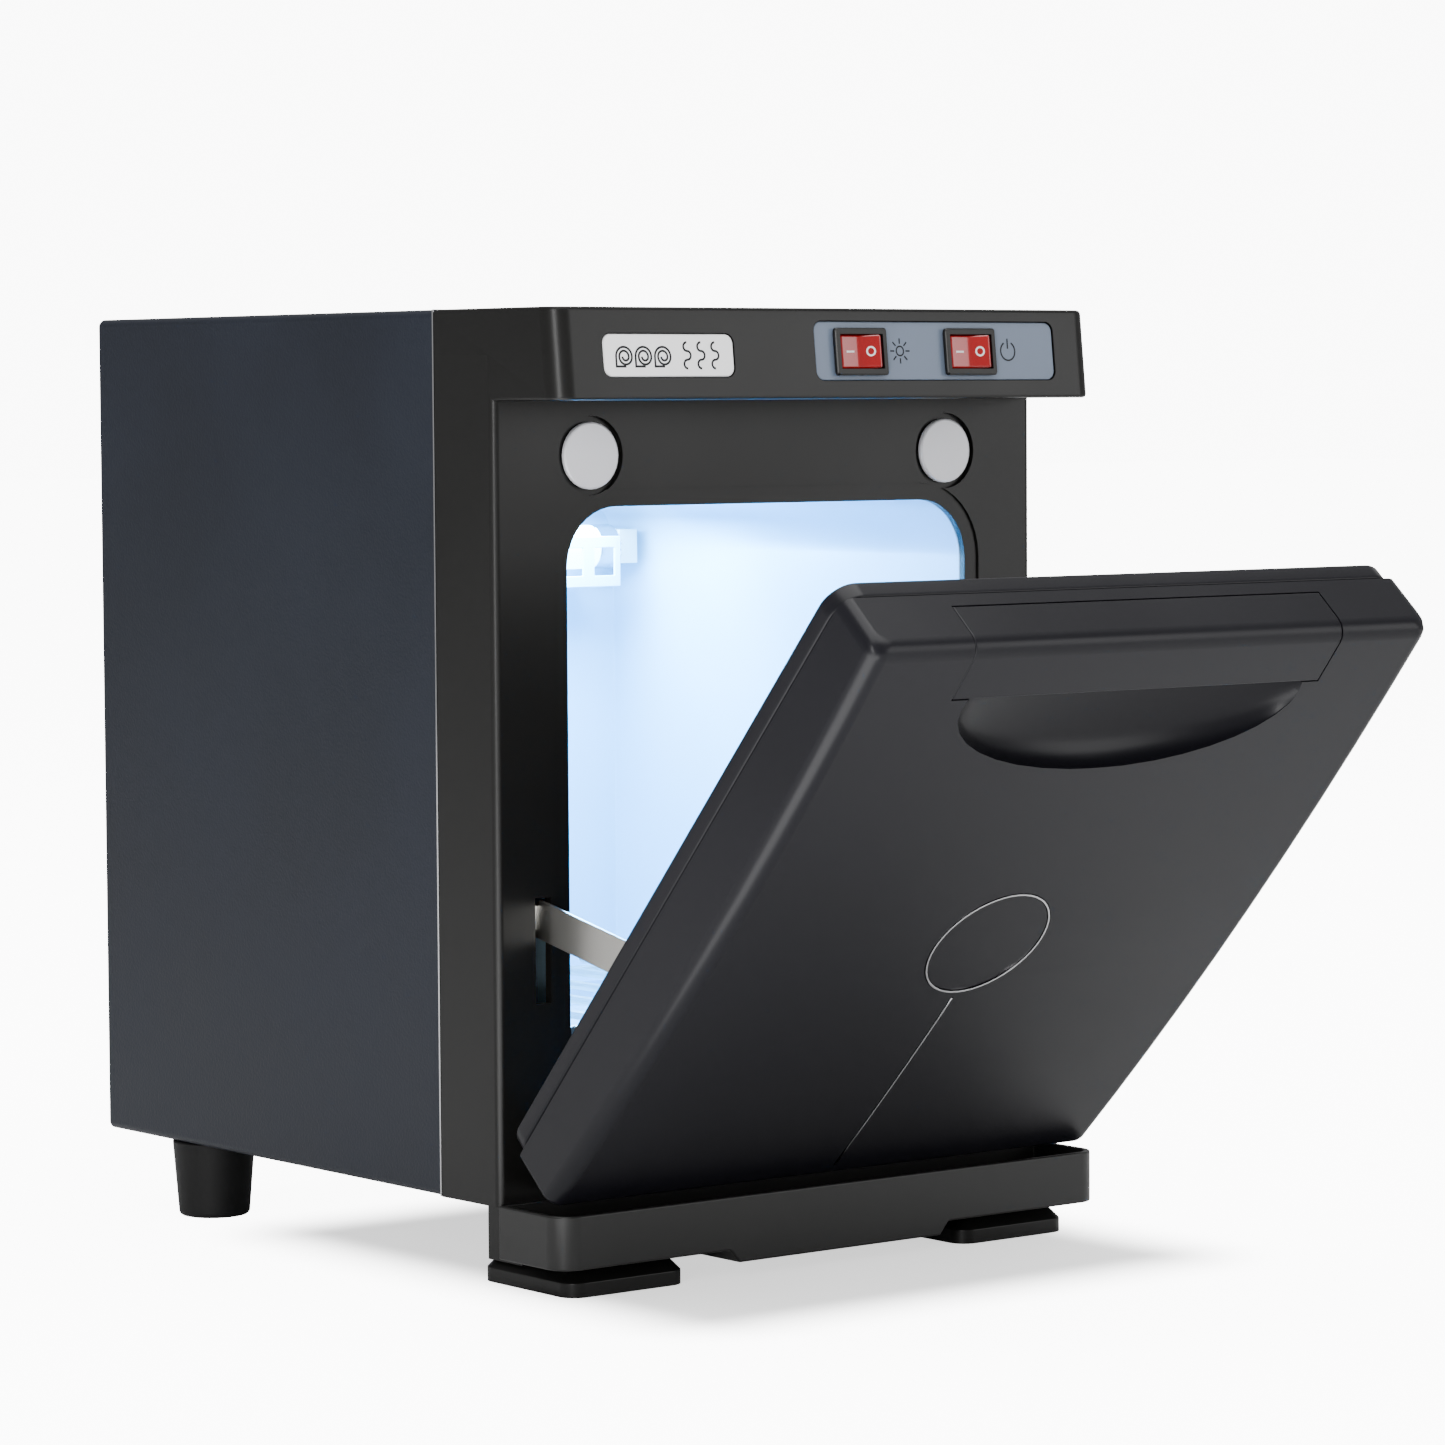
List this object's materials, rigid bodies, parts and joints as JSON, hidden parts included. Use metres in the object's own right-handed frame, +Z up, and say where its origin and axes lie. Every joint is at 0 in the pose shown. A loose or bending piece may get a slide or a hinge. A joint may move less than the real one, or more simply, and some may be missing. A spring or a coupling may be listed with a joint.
{
  "type": "hot towel cabinet",
  "caption": "Countertop hot towel cabinet: steel case with a lit heated chamber, drop-down door on stays, rocker switches in a hood and a slide-out drip tray.",
  "frame": {"origin": "on the ground, under the centre of the bounding box with the door resting open on its stays", "axes": "+Z up, the front and its door face -Y, +X to the right as seen from the front"},
  "size_m": [0.22, 0.4162, 0.303],
  "materials": {
    "painted_steel": "satin dark blue-grey paint",
    "black_plastic": "satin black moulding",
    "door_plastic": "satin grey-black moulding",
    "grey_plate": "satin blue-grey",
    "satin_steel": "satin stainless",
    "bright_metal": "bright",
    "strike_metal": "fine satin",
    "red_lens": "clear red, lit",
    "aluminium": "bright mill finish",
    "zinc_steel": "zinc plated",
    "mineral_wool": "matte fibre",
    "white_ceramic": "matte white",
    "black_rubber": "matte",
    "lamp_glass": "clear tube",
    "dark_magnet": "dull dark"
  },
  "bodies": {
    "cabinet": {"outer_shell": "painted_steel", "rear_panel": "painted_steel", "front_frame": "black_plastic", "switch_body_uv": "black_plastic", "switch_body_power": "black_plastic", "front_foot_left": "black_plastic", "front_foot_right": "black_plastic", "control_plate": "grey_plate", "wire_rack": "satin_steel", "hinge_pin_left": "satin_steel", "hinge_pin_right": "satin_steel", "nameplate": "bright_metal", "strike_left": "strike_metal", "strike_right": "strike_metal", "chamber_liner": "aluminium", "lamp_guard": "aluminium", "chamber_tray": "aluminium", "base_plate": "zinc_steel", "heater_plate": "zinc_steel", "service_shelf": "zinc_steel", "insulation_base": "mineral_wool", "insulation_top": "mineral_wool", "thermostat": "white_ceramic", "thermal_fuse": "white_ceramic", "lamp_holder_left": "white_ceramic", "lamp_holder_right": "white_ceramic", "terminal_block": "white_ceramic", "cord_gland": "black_rubber", "rear_foot_left": "black_rubber", "rear_foot_right": "black_rubber", "uv_lamp": "lamp_glass", "ballast": "dark_magnet"},
    "door": {"door_outer_shell": "door_plastic", "door_inner_panel": "door_plastic", "handle_cover": "door_plastic", "door_insulation": "mineral_wool", "door_gasket": "black_rubber", "badge_ring": "bright_metal", "door_inlay": "bright_metal", "door_magnet_left": "dark_magnet", "door_magnet_right": "dark_magnet", "stay_bracket_left": "satin_steel", "stay_bracket_right": "satin_steel", "stay_rivet_left": "satin_steel", "stay_rivet_right": "satin_steel"},
    "stay_left": {"stay_left": "satin_steel"},
    "stay_right": {"stay_right": "satin_steel"},
    "rocker_uv": {"rocker_uv": "red_lens"},
    "rocker_power": {"rocker_power": "red_lens"},
    "drip_tray": {"drip_tray": "black_plastic"}
  },
  "joints": [
    {"name": "door_hinge", "type": "hinge", "parent": "cabinet", "child": "door", "pos_m": [0, -0.05013, 0.0325], "axis": [1, 0, 0], "range_deg": [-42, 0]},
    {"name": "stay_pivot_left", "type": "hinge", "parent": "door", "child": "stay_left", "pos_m": [-0.091, -0.07246, 0.10363], "axis": [1, 0, 0], "range_deg": [0, 30.25]},
    {"name": "stay_pivot_right", "type": "hinge", "parent": "door", "child": "stay_right", "pos_m": [0.091, -0.07246, 0.10363], "axis": [1, 0, 0], "range_deg": [0, 30.25]},
    {"name": "rocker_uv_pivot", "type": "hinge", "parent": "cabinet", "child": "rocker_uv", "pos_m": [0.0102, -0.05418, 0.28909], "axis": [0, 0.1047, 0.9945], "range_deg": [0, 18]},
    {"name": "rocker_power_pivot", "type": "hinge", "parent": "cabinet", "child": "rocker_power", "pos_m": [0.0555, -0.05418, 0.28909], "axis": [0, 0.1047, 0.9945], "range_deg": [0, 18]},
    {"name": "drip_tray_slide", "type": "slide", "parent": "cabinet", "child": "drip_tray", "axis": [0, -1, 0], "range_m": [0, 0.06]}
  ],
  "couplings": [
    {"joint": "stay_pivot_left", "follows": "door_hinge", "ratio": -0.71905},
    {"joint": "stay_pivot_right", "follows": "door_hinge", "ratio": -0.71905}
  ]
}
